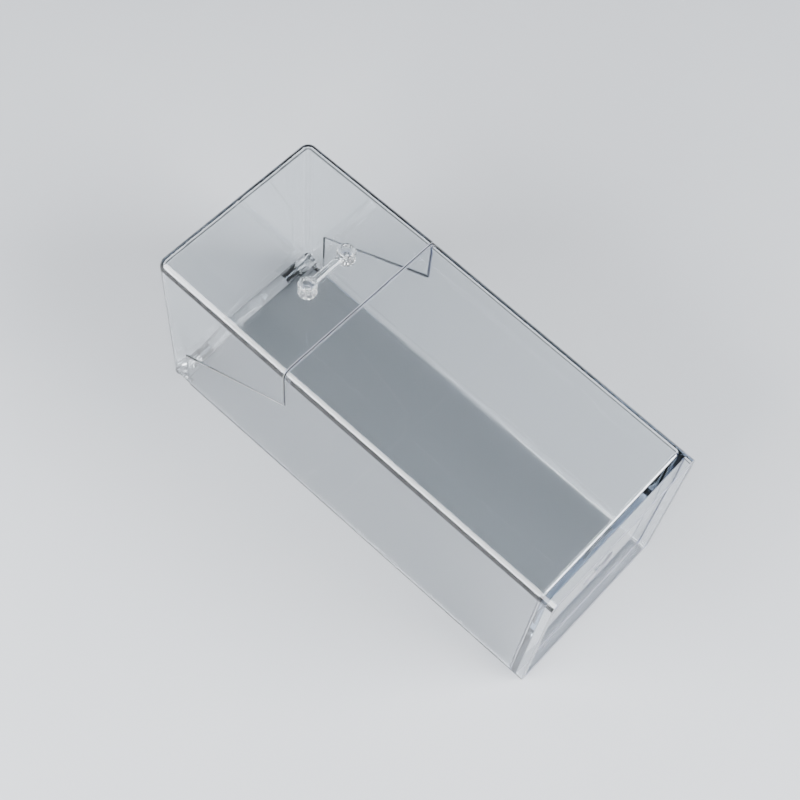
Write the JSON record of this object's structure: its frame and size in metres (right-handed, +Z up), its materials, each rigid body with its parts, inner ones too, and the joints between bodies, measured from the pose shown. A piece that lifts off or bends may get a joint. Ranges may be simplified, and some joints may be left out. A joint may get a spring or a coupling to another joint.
{
  "type": "pick holder",
  "caption": "Clear moulded storage box for thin picks, lying on its back, with a flip lid hinged across one end and a small bar handle on fluted posts.",
  "frame": {"origin": "under the middle of the object, on the surface that its back panel lies on", "axes": "+X runs from the lid end to the base end, +Y across the width, +Z up from the back panel to the panel that carries the handle"},
  "size_m": [0.225, 0.0946, 0.1079],
  "materials": {
    "clear_shell": "clear, polished mould finish",
    "clear_trim": "clear, polished mould finish"
  },
  "bodies": {
    "container": {"body": "clear_shell"},
    "flip_lid": {"lid": "clear_shell", "hinge_pin_left": "clear_trim", "hinge_pin_right": "clear_trim", "handle_post_left": "clear_trim", "handle_post_right": "clear_trim", "handle_bar": "clear_trim"}
  },
  "joints": [
    {"name": "lid_hinge", "type": "hinge", "parent": "container", "child": "flip_lid", "pos_m": [-0.108, 0, 0.0045], "axis": [0, -1, 0], "range_deg": [0, 90]}
  ]
}
